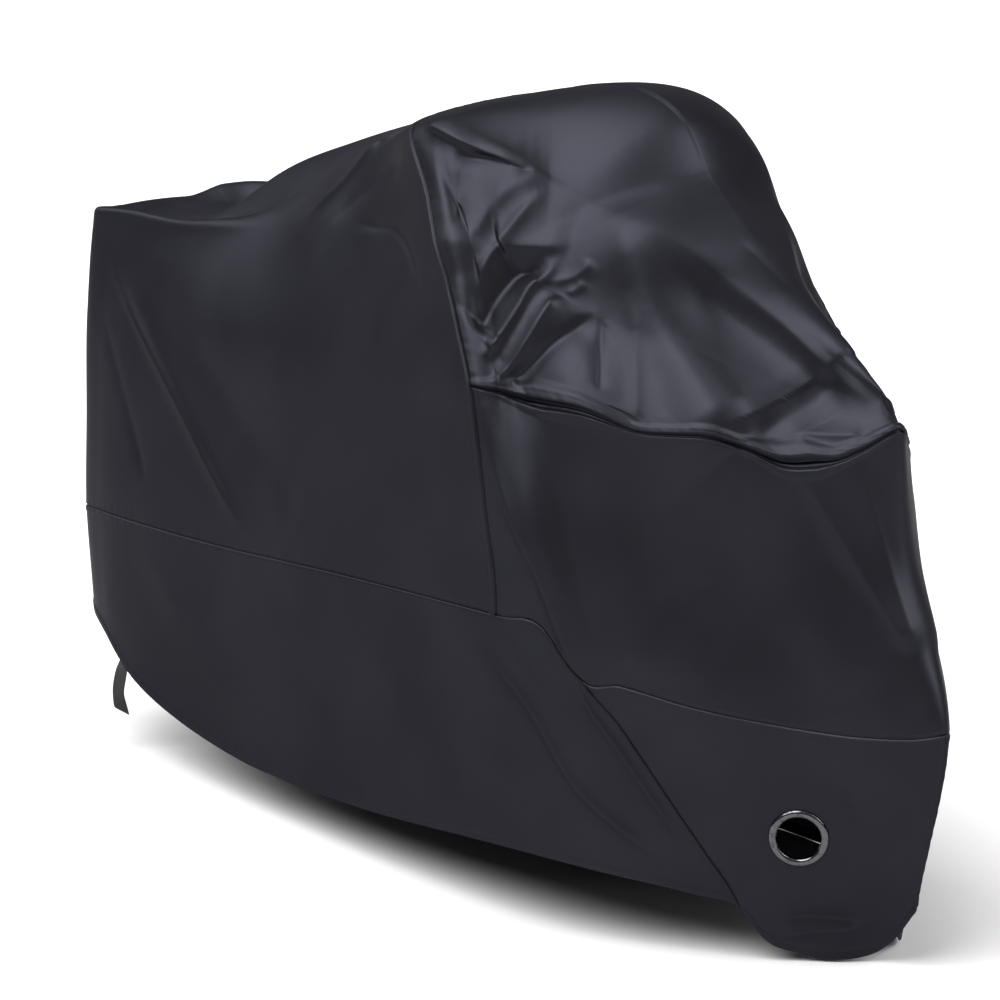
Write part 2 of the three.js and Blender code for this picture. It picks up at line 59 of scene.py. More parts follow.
def look_at(thing, place, target):
    """Puts a lamp or camera in place and turns it to its target."""
    thing.location = place
    away = np.subtract(target, place)
    rise = math.atan2(math.hypot(away[0], away[1]), -away[2])
    thing.rotation_euler = (rise, 0, math.atan2(-away[0], away[1]))
    scene.collection.objects.link(thing)
    return thing


class Field:
    """A value, colour or vector that varies over a surface, from one output of a shader node."""

    def __init__(self, finish, socket):
        self.finish, self.socket = finish, socket

    def math(self, operation, first, second=0.0):
        return self.finish.node("Math", {"operation": operation}, {0: first, 1: second})

    def __add__(self, other):
        return self.math("ADD", self, other)

    __radd__ = __add__

    def __sub__(self, other):
        return self.math("SUBTRACT", self, other)

    def __rsub__(self, other):
        return self.math("SUBTRACT", other, self)

    def __mul__(self, other):
        return self.math("MULTIPLY", self, other)

    __rmul__ = __mul__

    def __abs__(self):
        return self.math("ABSOLUTE", self)

    def wave(self):
        return self.math("SINE", self)

    def eased(self, start, end):
        """0 up to start, 1 from end on, and a smooth step between them."""
        settings = {"interpolation_type": "SMOOTHSTEP"}
        sockets = {"Value": self, "From Min": start, "From Max": end}
        return self.finish.node("MapRange", settings, sockets)


class Finish:
    """A material while it is put together. Its constants go straight onto the shader's sockets."""

    def __init__(self, name, **constants):
        self.material = bpy.data.materials.new(name)
        self.material.use_nodes = True
        self.tree = self.material.node_tree
        self.shader = self.tree.nodes["Principled BSDF"]
        for socket, value in constants.items():
            self.put(self.shader.inputs[socket.replace("_", " ")], value)

    def put(self, socket, value):
        if isinstance(value, Field):
            self.tree.links.new(value.socket, socket)
        else:
            socket.default_value = (*value, 1) if socket.type == "RGBA" else value

    def node(self, kind, settings=None, sockets=None, output=0):
        made = self.tree.nodes.new(f"ShaderNode{kind}")
        for setting, value in (settings or {}).items():
            setattr(made, setting, value)
        for socket, value in (sockets or {}).items():
            self.put(made.inputs[socket], value)
        return Field(self, made.outputs[output])

    def noise(self, scale, detail):
        place = self.node("TexCoord", output="Object")
        return self.node("TexNoise", None, {"Vector": place, "Scale": scale, "Detail": detail})

    def mixed(self, share, first, second):
        """A colour between two others."""
        mix = self.tree.nodes.new("ShaderNodeMix")
        mix.data_type = "RGBA"
        for socket, value in ((0, share), (6, first), (7, second)):
            self.put(mix.inputs[socket], value)
        return Field(self, mix.outputs[2])

    def bumped(self, height, distance, strength=1.0):
        sockets = {"Height": height, "Distance": distance, "Strength": strength}
        self.put(self.shader.inputs["Normal"], self.node("Bump", None, sockets))


floor_mesh = bpy.data.meshes.new("floor")
half_floor = FLOOR_SPAN / 2
corners = [(x * half_floor, y * half_floor, 0) for x, y in ((-1, -1), (1, -1), (1, 1), (-1, 1))]
floor_mesh.from_pydata(corners, [], [(0, 1, 2, 3)])
white_sweep = Finish("white_sweep", Roughness=0.9, Base_Color=(FLOOR_WHITE,) * 3)
floor_mesh.materials.append(white_sweep.material)
floor = bpy.data.objects.new("floor", floor_mesh)
scene.collection.objects.link(floor)

sky = bpy.data.worlds.new("studio_sky")
sky.use_nodes = True
sky_nodes, sky_links = sky.node_tree.nodes, sky.node_tree.links
sky_place = sky_nodes.new("ShaderNodeTexCoord")
sky_split = sky_nodes.new("ShaderNodeSeparateXYZ")
sky_ramp = sky_nodes.new("ShaderNodeValToRGB")
sky_links.new(sky_place.outputs["Generated"], sky_split.inputs["Vector"])
sky_links.new(sky_split.outputs["Z"], sky_ramp.inputs["Fac"])
sky_links.new(sky_ramp.outputs["Color"], sky_nodes["Background"].inputs["Color"])
while len(sky_ramp.color_ramp.elements) < len(SKY):
    sky_ramp.color_ramp.elements.new(0.5)
for element, (height, light) in zip(sky_ramp.color_ramp.elements, SKY):
    element.position = height
    element.color = (light, light, light, 1)
scene.world = sky
for name, place, breadth, strength in LAMPS:
    lamp = bpy.data.lights.new(name, "SUN")
    lamp.angle = math.radians(breadth)
    lamp.energy = strength
    look_at(bpy.data.objects.new(name, lamp), place, (0, 0, 0))

lens = bpy.data.cameras.new("camera")
lens.sensor_width = SENSOR_MM
lens.lens = LENS_MM
level_reach = math.cos(VIEW_RISE)
view_back = np.array((
    math.sin(VIEW_TURN) * level_reach, -math.cos(VIEW_TURN) * level_reach, math.sin(VIEW_RISE),
))
camera = bpy.data.objects.new("camera", lens)
scene.camera = look_at(camera, VIEW_TARGET + VIEW_REACH * view_back, VIEW_TARGET)
scene.view_settings.view_transform = "Standard"

# The rear panel is one wrap of coated polyester, from wall to wall over the seat and tail. All the
# panels lie on one shape, set by the lines below in millimetres: each level is a loop around the
# cover, from the hem up to the middle line of the top, and a station counts from the middle of the
# tail (0) past the hood seam (0.5) to the middle of the nose (1).
MM = 0.001
RIGHT, LEFT = -1, 1


def table(text):
    head, *lines = [line.split() for line in text.strip().splitlines()]
    values = np.array(lines, float)
    return {name: values[:, i] for i, name in enumerate(head)}


# Each level has how softly the cloth bends over it, behind the hood seam and ahead of it.
LEVELS = [
    ((1, 1), table("""
    station     x  half  height
    0       -1010     0     258
    0.06    -1010   125     252
    0.11     -990   190     228
    0.17     -885   235     195
    0.24     -735   265     134
    0.34     -385   297      83
    0.43       15   325      90
    0.50      350   335     117
    0.60      575   290     114
    0.70      720   205      93
    0.74      770   175      83
    0.78      810   145      30
    0.82      845   105      12
    0.88      885    62       4
    0.92      915    26      14
    0.96      948    11      44
    1         980     0      92""")),
    ((0.8, 0.8), table("""
    station     x  half  height
    0       -1018     0     410
    0.06    -1018   130     410
    0.11    -1000   196     415
    0.17     -900   235     425
    0.24     -740   265     435
    0.34     -385   305     455
    0.43       15   345     485
    0.50      435   378     507
    0.54      520   355     500
    0.57      575   330     430
    0.62      640   300     423
    0.70      740   240     400
    0.82      875   130     375
    0.88      940    90     372
    0.94     1000    40     373
    1        1032     0     380""")),
    ((1, 1), table("""
    station     x  half  height
    0       -1018     0     585
    0.06    -1018   130     585
    0.11     -998   193     585
    0.17     -905   225     590
    0.24     -740   250     595
    0.34     -385   295     615
    0.43       15   345     645
    0.50      420   386     675
    0.60      560   325     650
    0.70      665   245     630
    0.88      860   100     615
    1         945     0     615""")),
    ((1, 0.25), table("""
    station     x  half  height
    0       -1018     0     775
    0.06    -1018   130     775
    0.11     -997   188     775
    0.17     -905   210     780
    0.24     -745   225     785
    0.34     -385   275     815
    0.43       15   335     845
    0.50      383   384     859
    0.53      420   355     851
    0.56      455   335     842
    0.62      526   296     829
    0.69      609   244     802
    0.74      662   215     802
    0.79      716   183     802
    0.82      757   156     792
    0.86      800   124     775
    0.90      840    96     778
    0.93      868    74     782
    0.96      893    46     798
    1         922     0     826""")),
    ((0.6, 0.9), table("""
    station     x  half  height
    0       -1015     0     960
    0.06    -1013   115     958
    0.11     -988   169     963
    0.17     -885   174     971
    0.24     -715   172     970
    0.34     -405   180    1000
    0.40     -205   230    1035
    0.45       -5   275    1045
    0.50      205   320    1115
    0.55      272   303    1078
    0.60      335   270    1030
    0.70      490   208     950
    0.80      617   150     912
    0.85      680   115     885
    0.90      750    78     862
    0.95      822    40     848
    1         898     0     843""")),
    ((0.5, 0.8), table("""
    station     x  half  height
    0        -975     0     960
    0.06     -962    78     956
    0.11     -915   116     951
    0.17     -825   122     950
    0.24     -670   118     956
    0.34     -385   120    1065
    0.45      -65   210    1175
    0.50       85   260    1222
    0.60      250   247    1225
    0.68      390   205    1165
    0.74      465   158    1110
    0.80      555   110    1045
    0.85      620    68    1003
    0.90      700    32     960
    0.95      790    12     912
    1         880     0     868""")),
    ((1, 1), table("""
    station     x  half  height
    0        -930     0     957
    0.11     -860     0     951
    0.18     -757     0     975
    0.24     -640     0    1050
    0.34     -405     0    1132
    0.45      -85     0    1215
    0.50       75     0    1252
    0.56      215     0    1280
    0.62      330     0    1283
    0.68      430     0    1243
    0.74      500     0    1145
    0.80      570     0    1075
    0.85      635     0    1020
    0.90      712     0     972
    1         885     0     876""")),
]
# The levels at which panels end or mirror. Between them lie the knee (2) and the rim (4).
HEM, LOWER_SEAM, SHOULDER, RIDGE, SPINE = 0, 1, 3, 5, 6
HOOD_SEAM = 0.5
WHEEL_SEAM_TOP = 0.575
WHEEL_SEAM_HEM = 0.745

# On the left the hem comes down to the floor amidships, as on a machine that leans on its side
# stand, and is drawn up a little by the nose.
LEFT_HEM = table("""
    station  reach  drop
    0.518     0.13   119
    0.945     0.05   -26""")

# What lies beneath pushes the cloth out in broad places, or lets it sink in.
SWELLS = table("""
  side  station  level  reach_s  reach_l  height
  -1      0.640   3.60    0.080     0.90      34
  -1      0.640   5.10    0.080     0.60     -40
  -1      0.830   4.50    0.060     0.50     -12""")

# side is -1 on the right and 1 on the left. A fold runs from a station and level, past a middle
# place, to an end place. left and right are how far it reaches on each hand, seen from outside,
# and height is how far it stands above the cloth, or below it where negative. Millimetres.
FOLDS = table("""
  side  from_s from_l  mid_s mid_l   to_s  to_l  left right height
  -1    0.665  4.93    0.590 4.80   0.518  4.93     8   55     14
  -1    0.665  4.95    0.610 4.48   0.515  3.60    30   50     14
  -1    0.665  4.85    0.615 4.27   0.533  3.58    16   10     10
  -1    0.690  4.50    0.645 4.33   0.590  4.05    14   34     12
  -1    0.660  4.30    0.590 3.80   0.514  3.37    22   20    -18
  -1    0.677  4.45    0.612 3.80   0.510  3.22    10   14     16
  -1    0.665  4.07    0.613 3.62   0.513  3.05    10    9     12
  -1    0.700  4.07    0.633 3.59   0.530  3.12    30   10    -14
  -1    0.747  4.40    0.738 3.88   0.688  3.00    14   30      4
  -1    0.718  5.12    0.775 4.40   0.815  2.95   120   70     34
  -1    0.745  5.05    0.860 5.05   0.990  4.50    60   20     10
  -1    0.772  4.86    0.867 4.58   0.972  4.25    40   60    -12
  -1    0.870  3.37    0.920 3.50   0.967  3.33    16   10      6
  -1    0.149  3.53    0.266 2.61   0.357  1.07     9    9      7
  -1    0.220  3.50    0.332 2.48   0.400  1.45    60   60     -8
  -1    0.373  4.00    0.415 4.60   0.448  5.20    12    9      8
  -1    0.505  2.70    0.529 1.73   0.572  0.98    14   12      9
  -1    0.563  1.02    0.607 0.70   0.691  0.23     9   12      7
  -1    0.487  0.92    0.540 0.54   0.670  0.12    12   12      8
  -1    0.870  2.90    0.921 2.12   0.967  1.47    30    8      8
  -1    0.945  2.95    0.966 2.11   0.974  1.50    10   25      5
  -1    0.646  2.83    0.650 1.88   0.642  1.02    60   60      5
  -1    0.752  2.60    0.801 1.77   0.848  1.09    60   60     -6
  -1    0.234  0.92    0.316 0.42   0.375  0.06    50   60      6
   1    0.725  5.07    0.780 4.40   0.812  3.00    60   30      8
   1    0.745  5.05    0.860 5.05   0.990  4.50    20   60      8
   1    0.772  4.86    0.867 4.58   0.972  4.25    45   30     -8
   1    0.655  4.90    0.590 4.40   0.520  3.70    45   14      8
   1    0.670  4.40    0.600 3.75   0.512  3.20    14    9      9
   1    0.690  4.10    0.620 3.60   0.530  3.10     9   30     -8
   1    0.140  3.50    0.250 2.60   0.340  1.20    10   10      7
   1    0.230  3.50    0.330 2.40   0.420  1.50    60   60     -8
   1    0.505  2.60    0.545 1.60   0.600  0.40    12   14      9
   1    0.880  2.80    0.925 2.10   0.960  1.40     8   30      6
   1    0.375  4.00    0.415 4.60   0.448  5.20     9   12      7
   1    0.640  2.80    0.650 1.90   0.640  1.00    60   60     -5
   1    0.020  4.06    0.100 4.12   0.200  4.04    25   30     20""")

# Creases finer than those, the soft roll of the rim over the seat, and the hollow behind it.
FINE_FOLDS = table("""
  side  from_s from_l  mid_s mid_l   to_s  to_l  left right height
  -1    0.557  4.64    0.607 4.76   0.650  4.89     8    8     -8
  -1    0.569  4.60    0.554 4.25   0.508  3.75    22   12     -4
  -1    0.650  4.11    0.683 4.28   0.708  4.47     6    8      4
  -1    0.667  4.09    0.682 4.18   0.696  4.29     5    6      3
  -1    0.711  4.18    0.685 3.69   0.653  3.25     9    8     -4
  -1    0.162  3.05    0.208 2.40   0.255  1.47     9    9     -4
  -1    0.427  4.08    0.464 3.95   0.477  3.47     8    6     -4
  -1    0.408  3.91    0.435 4.42   0.485  4.55    12   12     -4
  -1    0.788  0.10    0.830 0.17   0.901  0.17    10    8     -5
  -1    0.787  0.02    0.831 0.11   0.910  0.14     8    8      4
  -1    0.502  1.06    0.520 0.84   0.546  0.70    14   14      3
  -1    0.810  5.75    0.840 5.90   0.885  5.95    10   14     -3
  -1    0.010  3.95    0.150 3.96   0.340  4.00    18   18      5
  -1    0.020  4.52    0.140 4.60   0.270  4.75    20   26    -12
   1    0.560  4.64    0.610 4.76   0.655  4.90     8    8     -6
   1    0.700  4.20    0.680 3.70   0.650  3.25     9    8     -4
   1    0.165  3.05    0.215 2.40   0.260  1.50     9    9     -4""")


def smooth(t):
    t = np.clip(t, 0, 1)
    return t * t * (3 - 2 * t)


def cubic(t, a, b, slope_a, slope_b):
    t = t[..., None]
    return (
        (2 * t**3 - 3 * t**2 + 1) * a
        + (t**3 - 2 * t**2 + t) * slope_a
        + (3 * t**2 - 2 * t**3) * b
        + (t**3 - t**2) * slope_b
    )


def loop_through(rows):
    """The smooth loop through one level's rows, mirrored past the middle of tail and nose."""
    own = np.stack([rows["x"], rows["half"], rows["height"]], 1) * MM
    flip = np.array((1, -1, 1))
    knots = np.concatenate([[-rows["station"][1]], rows["station"], [2 - rows["station"][-2]]])
    points = np.concatenate([[own[1] * flip], own, [own[-2] * flip]])
    steps = np.diff(knots)
    slopes = np.diff(points, axis=0) / steps[:, None]
    before, after = steps[:-1, None], steps[1:, None]
    tangents = (slopes[:-1] * after + slopes[1:] * before) / (before + after)

    def place(station):
        i = np.clip(np.searchsorted(rows["station"], station, "right") - 1, 0, len(own) - 2)
        step = rows["station"][i + 1] - rows["station"][i]
        t = (station - rows["station"][i]) / step
        leaving, arriving = (tangents[end] * step[..., None] for end in (i, i + 1))
        return cubic(t, own[i], own[i + 1], leaving, arriving)

    return place


loops = [loop_through(rows) for _, rows in LEVELS]

# Where the softness behind the hood seam starts to change, and over how long a way.
SOFTNESS_CHANGE, SOFTNESS_SPAN = 0.46, 0.08


def drape(side, station, level):
    """The cloth without its folds."""
    station, level = np.broadcast_arrays(np.asarray(station, float), np.asarray(level, float))
    lines = [loop(station) for loop in loops]
    flip = np.array((1, -1, 1))
    lines = np.stack([2 * lines[0] - lines[1], *lines, lines[RIDGE] * flip])
    change = smooth((station - SOFTNESS_CHANGE) / SOFTNESS_SPAN)
    softness = np.stack([behind + (ahead - behind) * change for (behind, ahead), _ in LEVELS])
    i = np.clip(np.floor(level).astype(int), HEM, SPINE - 1)

    def at(offset):
        return np.take_along_axis(lines, (i + 1 + offset)[None, ..., None], 0)[0]

    def soft(offset):
        return np.take_along_axis(softness, (i + offset)[None], 0)[0][..., None] / 2

    point = cubic(level - i, at(0), at(1), (at(1) - at(-1)) * soft(0), (at(2) - at(0)) * soft(1))
    if side == LEFT:
        for middle, reach, drop in zip(*LEFT_HEM.values()):
            low = np.maximum(LOWER_SEAM - level, 0) * np.exp(-(((station - middle) / reach) ** 2))
            point[..., 2] -= drop * MM * low
    return point * np.array((1, side, 1))


def unit(vector):
    return vector / np.maximum(np.linalg.norm(vector, axis=-1, keepdims=True), 1e-12)


def outward(side, station, level):
    step = 1e-3
    along = drape(side, station + step, level) - drape(side, station - step, level)
    up = drape(side, station, level + step) - drape(side, station, level - step)
    return unit(np.cross(along, up) * -side)


# A fold is followed in steps, ends at so many times its own reach to each side, grows and fades
# over these shares of its length, and has a crest that is rounded by a share of its reach.
FOLD_STEPS = 12
FOLD_REACH = 4
FOLD_GROWS, FOLD_FADES = 0.35, 0.14
FOLD_ROUND = 0.3


def fold_lines(folds):
    lines = []
    for row in range(len(folds["side"])):
        fold = {name: values[row] for name, values in folds.items()}
        t = np.linspace(0, 1, FOLD_STEPS + 1)
        first, middle, last = (1 - t) * (1 - 2 * t), 4 * t * (1 - t), t * (2 * t - 1)
        station = fold["from_s"] * first + fold["mid_s"] * middle + fold["to_s"] * last
        level = fold["from_l"] * first + fold["mid_l"] * middle + fold["to_l"] * last
        side = int(fold["side"])
        lines.append((fold, drape(side, station, level), outward(side, station, level)))
    return lines


def fold_height(lines, points):
    """How far the folds lift the cloth at each point. A fold fades out towards both ends."""
    flat = points.reshape(-1, 3)
    height = np.zeros(len(flat))
    for fold, line, out in lines:
        span = FOLD_REACH * max(fold["left"], fold["right"]) * MM
        near = np.all((flat > line.min(0) - span) & (flat < line.max(0) + span), axis=1)
        if not near.any():
            continue
        own = flat[near]
        away = np.full(len(own), np.inf)
        share = np.zeros(len(own))
        along = np.zeros(len(own))
        for i in range(FOLD_STEPS):
            run = line[i + 1] - line[i]
            t = np.clip((own - line[i]) @ run / (run @ run), 0, 1)
            offset = own - line[i] - t[:, None] * run
            distance = np.linalg.norm(offset, axis=1)
            closer = distance < away
            away[closer] = distance[closer]
            along[closer] = (i + t[closer]) / FOLD_STEPS
            on_left = offset[closer] @ np.cross(out[i], run) > 0
            share[closer] = distance[closer] / (np.where(on_left, fold["left"], fold["right"]) * MM)
        fade = smooth(along / FOLD_GROWS) * smooth((1 - along) / FOLD_FADES)
        fade *= smooth((FOLD_REACH - share) / 2)
        crest = np.exp(FOLD_ROUND - np.hypot(share, FOLD_ROUND))
        height[near] += fold["height"] * MM * fade * crest
    return height.reshape(points.shape[:-1])


# Each eyelet clamps the cloth flat around itself, and the cloth is free of it further out.
EYELET_STATION, EYELET_LEVEL = 0.809, 0.48
EYELET_OUTER, EYELET_BORE, EYELET_WALL = 0.046, 0.034, 0.0012
FLAT, FLAT_END = EYELET_OUTER + 0.026, EYELET_OUTER + 0.066
eyelets = {
    side: (drape(side, EYELET_STATION, EYELET_LEVEL), outward(side, EYELET_STATION, EYELET_LEVEL))
    for side in (RIGHT, LEFT)
}
main_folds, fine_folds = fold_lines(FOLDS), fold_lines(FINE_FOLDS)


def swell(side, station, level):
    height = 0
    for own, at_s, at_l, reach_s, reach_l, size in zip(*SWELLS.values()):
        if own == side:
            away = ((station - at_s) / reach_s) ** 2 + ((level - at_l) / reach_l) ** 2
            height = height + size * MM * np.exp(-away)
    return height


def surface(side, station, level):
    """The cloth's outer face with its main folds."""
    point = drape(side, station, level)
    height = fold_height(main_folds, point) + swell(side, station, level)
    point = point + outward(side, station, level) * height[..., None]
    for centre, axis in eyelets.values():
        offset = point - centre
        share = 1 - smooth((np.linalg.norm(offset, axis=-1) - FLAT) / (FLAT_END - FLAT))
        point = point - (share * (offset @ axis))[..., None] * axis
    return point


def spread(start, end, count, close_start=0.0, close_end=0.0):
    """Places from start to end, closer together at an end that meets a seam."""
    t = np.linspace(0, 1, count + 1)
    arch = np.sin(np.pi * t) / np.pi
    t = t - close_start * arch * (1 - t) + close_end * arch * t
    return start + (end - start) * t


def lengths(points, axis):
    """How far each point of a grid is along its line."""
    steps = np.linalg.norm(np.diff(points, axis=axis), axis=-1)
    return np.concatenate([np.zeros_like(np.take(steps, [0], axis)), np.cumsum(steps, axis)], axis)


def profile(knots, distance):
    """Height beside a seam, eased between knots of distance and height in millimetres."""
    away, height = np.array(knots, float).T
    i = np.clip(np.searchsorted(away, distance / MM, "right") - 1, 0, len(away) - 2)
    t = smooth((distance / MM - away[i]) / (away[i + 1] - away[i]))
    return (height[i] + (height[i + 1] - height[i]) * t) * MM


PUCKER_WAVES = (
    # size, length in metres over a radian, shift
    (1, 0.0031, 0),
    (0.8, 0.0049, 1.7),
    (0.7, 0.0113, 0),
)
PUCKER_HEIGHT, PUCKER_REACH = 0.22, 0.011


def puckers(along, distance):
    """Small gathers that a row of stitching pulls into the cloth beside it."""
    wave = sum(size * np.sin(along / length + shift) for size, length, shift in PUCKER_WAVES)
    return PUCKER_HEIGHT * MM * wave * np.exp(-distance / PUCKER_REACH)


# Each edge of a panel's grid, as the axis that crosses it and the end that it lies at.
EDGES = {"first": (0, 0), "last": (0, -1), "bottom": (1, 0), "top": (1, -1)}


def from_edge(points, edge):
    axis, end = EDGES[edge]
    distance = lengths(points, axis)
    return np.take(distance, [-1], axis) - distance if end else distance


def past_edge(values, edge, reach=0.0):
    """A grid with two more rows past an edge, where the cloth goes on under the next panel."""
    axis, end = EDGES[edge]
    rows = np.moveaxis(values, axis, 0)
    rows = rows[::-1] if end else rows
    inward = unit(rows[1] - rows[0]) if reach else np.zeros_like(rows[0])
    rows = np.concatenate([[rows[0] - inward * reach, rows[0] - inward * reach / 2], rows])
    return np.moveaxis(rows[::-1] if end else rows, 0, axis)


def grid_mesh(name, sheets, joined):
    """One mesh of a right and a left grid of points, which share the edges named in joined."""
    vertices, weaves, rows, faces = [], [], [], []
    count = 0
    first_ids = None
    for side, points, weave, stitches, kept in sheets:
        ids = np.arange(count, count + points[..., 0].size).reshape(points.shape[:2])
        if first_ids is not None:
            for edge in joined:
                ids[edge] = first_ids[edge]
        vertices.append(points.reshape(-1, 3))
        weaves.append(weave.reshape(-1, 3))
        rows.append(stitches.reshape(-1, 3))
        quads = np.stack([ids[:-1, :-1], ids[1:, :-1], ids[1:, 1:], ids[:-1, 1:]], -1)[kept]
        faces.append(quads if side == RIGHT else quads[:, ::-1])
        count += points[..., 0].size
        first_ids = ids if first_ids is None else first_ids
    mesh = bpy.data.meshes.new(name)
    used, packed = np.unique(np.concatenate(faces), return_inverse=True)
    mesh.from_pydata(np.concatenate(vertices)[used].tolist(), [], packed.reshape(-1, 4).tolist())
    for attribute, values in (("weave", weaves), ("stitches", rows)):
        data = mesh.attributes.new(attribute, "FLOAT_VECTOR", "POINT").data
        data.foreach_set("vector", np.concatenate(values)[used].ravel())
    mesh.shade_smooth()
    piece = bpy.data.objects.new(name, mesh)
    scene.collection.objects.link(piece)
    return piece


STITCH_LENGTH = 0.0045
STITCH_HALF_WIDTH = (0.0003, 0.0007)
THREADS_PER_METRE = 9000 / (2 * math.pi)
CLOTH_COLOUR, CLOTH_WORN = (0.0165, 0.0165, 0.0212), (0.0215, 0.0215, 0.027)
cloth = Finish("coated_polyester", Metallic=0.7, Specular_IOR_Level=0.0, Specular_Tint=(0.5, 0.5, 0.5))
weave_place = cloth.node("Attribute", {"attribute_name": "weave"}, output="Vector")
weave_split = cloth.node("SeparateXYZ", None, {0: weave_place}).socket.node
warp, weft, seam_distance = [Field(cloth, output) for output in weave_split.outputs]
patches = cloth.noise(5.0, 3.0).eased(0.35, 0.7)
crinkle = cloth.noise(55.0, 4.0)
worn = 1 - seam_distance.eased(0.002, 0.009)
threads_turn = 2 * math.pi * THREADS_PER_METRE
threads = (warp * threads_turn).wave() * (weft * threads_turn).wave()
stitch_place = cloth.node("Attribute", {"attribute_name": "stitches"}, output="Vector")
stitch_split = cloth.node("SeparateXYZ", None, {0: stitch_place}).socket.node
off_row, along_row = [Field(cloth, output) for output in stitch_split.outputs[:2]]
row_width = 1 - abs(off_row).eased(*STITCH_HALF_WIDTH)
stitch = row_width * (along_row * (2 * math.pi / STITCH_LENGTH)).wave().eased(-0.5, 0.1)
greyed = patches * 0.6 + worn * 0.3 + stitch * 0.6
cloth.put(cloth.shader.inputs["Base Color"], cloth.mixed(greyed, CLOTH_COLOUR, CLOTH_WORN))
cloth.put(cloth.shader.inputs["Roughness"], 0.36 + patches * 0.05 + worn * 0.04 + stitch * 0.2)
cloth.bumped(crinkle * 0.5 + threads * 0.03 + stitch * 0.9, 0.0006)


def cloth_panel(
    name, node, stations, levels, edges, sides=(RIGHT, LEFT), joined=(), place=None, kept=None
):
    """A panel's sheet. edges gives each seam its profile, its stitching's distance from the edge in
    millimetres, and how much it swells by station. place leans the grid to a slanting seam, and
    kept leaves out the faces of a hole."""
    grid_s, grid_l = np.meshgrid(stations, levels, indexing="ij")
    if place is not None:
        grid_s, grid_l = place(grid_s, grid_l)
    sheets = []
    for side in sides:
        points = surface(side, grid_s, grid_l)
        fine = fold_height(fine_folds, drape(side, grid_s, grid_l))
        own_s = grid_s
        for edge, (knots, *_) in edges.items():
            if knots[0][0] < 0:
                points = past_edge(points, edge, -knots[0][0] * MM)
                fine, own_s = past_edge(fine, edge), past_edge(own_s, edge)
        along, up = np.gradient(points, axis=0), np.gradient(points, axis=1)
        normals = np.cross(along, up) * -side
        for edge in joined:
            points[edge][..., 1] = 0
            normals[edge][..., 1] = 0
        normals = unit(normals)
        lift = fine
        nearest, off_row = np.ones(own_s.shape), np.ones(own_s.shape)
        along_row = np.zeros(own_s.shape)
        for edge, (knots, row, fullness) in edges.items():
            distance = from_edge(points, edge) + min(knots[0][0], 0) * MM
            run = lengths(points, 1 - EDGES[edge][0])
            scale = fullness(own_s)
            lift += profile(knots, distance / scale) * scale
            lift += puckers(run, np.abs(distance - row * MM))
            closer = np.abs(distance - row * MM) < np.abs(off_row)
            off_row = np.where(closer, distance - row * MM, off_row)
            along_row = np.where(closer, run, along_row)
            nearest = np.minimum(nearest, distance)
        points = points + normals * lift[..., None]
        weave = np.stack([lengths(points, 0), lengths(points, 1), nearest], -1)
        stitches = np.stack([off_row, along_row, nearest], -1)
        middle = (points[:-1, :-1] + points[1:, 1:]) / 2
        holes = kept(side, middle) if kept else np.ones(middle.shape[:2], bool)
        sheets.append((side, points, weave, stitches, holes))
    piece = grid_mesh(name, sheets, joined)
    piece.data.materials.append(cloth.material)
    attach(piece, "root")
    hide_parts(node)
    return piece


def steady(station):
    return 1.0


# Knots of distance and height beside a seam, in millimetres: a felled seam stands up as a welt on
# the rear panel, and the cloth that it is sewn to dips into it. A hem is two layers thick.
WELT = ((0, -1.5), (3, 3.2), (10, 3.4), (17, 0))
TUCKED = ((-9, -4), (0, -1.6), (5, 0.2), (12, 0))
LEDGE = ((0, -0.8), (2.5, 1.1), (7, 1.0), (14, 0))
HEMMED = ((0, 0.2), (2, 1.2), (16, 1.2), (19, 0))
TAIL_LINE, NOSE_LINE, TOP_LINE = np.s_[0, :], np.s_[-1, :], np.s_[:, -1]
rear_panel = cloth_panel(
    "rear_panel_cloth", "rear_panel",
    spread(0, HOOD_SEAM, 280, 0, 0.8), spread(LOWER_SEAM, SPINE, 165, 0.7, 0),
    {"last": (WELT, 7, steady), "bottom": (TUCKED, 6, steady)}, joined=(TAIL_LINE, TOP_LINE),
)

# The hood covers the handlebar, the screen and the tank. Its lower edge is sewn over the front
# panel in a scalloped line, and hangs out over it most where the stitching pulls.
OVERHANG = table("""
    station  swell
    0.50      0.5
    0.54      1.1
    0.58      1.7
    0.63      1.3
    0.69      0.6
    0.76      0.7
    0.82      0.9
    0.86      1.7
    0.90      1.9
    0.93      1.0
    1.00      0.6""")


def overhang(station):
    return np.interp(station, OVERHANG["station"], OVERHANG["swell"])


EAVE = ((0, -2), (5, 4.5), (12, 4), (28, 0))
LIP = ((-9, -6), (0, -6), (4, -4), (8, 1.2), (11, 1.0), (18, 0))
hood_panel = cloth_panel(
    "hood_panel_cloth", "hood_panel",
    spread(HOOD_SEAM, 1, 265, 0.7, 0), spread(SHOULDER, SPINE, 170, 0.7, 0),
    {"first": (TUCKED, 6, steady), "bottom": (EAVE, 6, overhang)},
    joined=(NOSE_LINE, TOP_LINE),
)

# The front panel is the wall over the fork and the front wheel, cut from the same cloth in one
# piece around the nose. Its top edge is sewn up under the hood, where it is drawn in below the
# overhang, and its lower edge goes under the skirt and the wheel covers.
front_panel = cloth_panel(
    "front_panel_cloth", "front_panel",
    spread(HOOD_SEAM, 1, 250, 0.7, 0), spread(LOWER_SEAM, SHOULDER, 110, 0.6, 0.7),
    {"first": (TUCKED, 6, steady), "bottom": (TUCKED, 6, steady), "top": (LIP, 10, overhang)},
    joined=(NOSE_LINE,),
)


